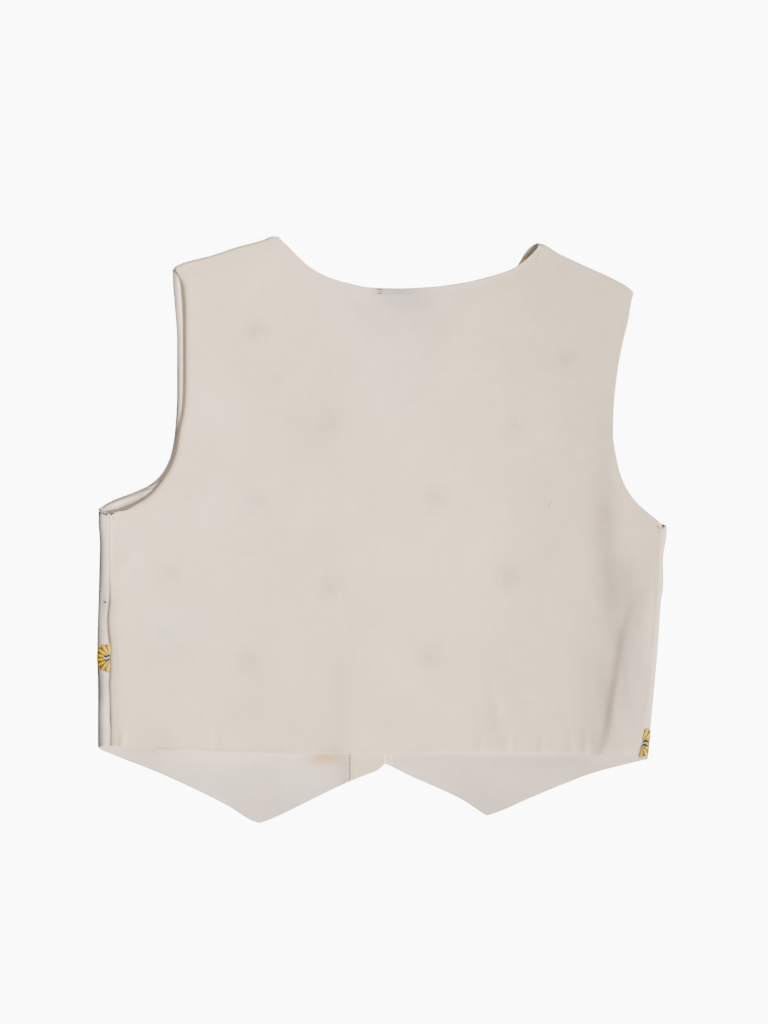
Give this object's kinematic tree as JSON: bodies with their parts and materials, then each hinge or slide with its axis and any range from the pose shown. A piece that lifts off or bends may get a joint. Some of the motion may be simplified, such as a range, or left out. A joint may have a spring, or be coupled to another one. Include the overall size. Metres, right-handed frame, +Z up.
{
  "type": "embroidered waistcoat",
  "caption": "Small sleeveless ivory waistcoat with pointed fronts, laid flat with its plain back up and a flower embroidered across each side seam.",
  "frame": {"origin": "on the surface it lies on, under the middle of the garment's box", "axes": "+X across the back towards the wearer's right-hand seam in the view from above, +Y from hem to shoulders, +Z up from the surface"},
  "size_m": [0.3129, 0.3231, 0.0064],
  "materials": {
    "ivory_cotton": "plain woven cotton, matt, ivory",
    "facing_cotton": "plain woven cotton, matt, ivory",
    "label_tape": "bare woven tape, slightly glossy"
  },
  "bodies": {
    "root": {"back_panel": "ivory_cotton", "front_left": "ivory_cotton", "front_right": "ivory_cotton", "facing_left": "facing_cotton", "facing_right": "facing_cotton", "neck_label": "label_tape"}
  },
  "joints": []
}
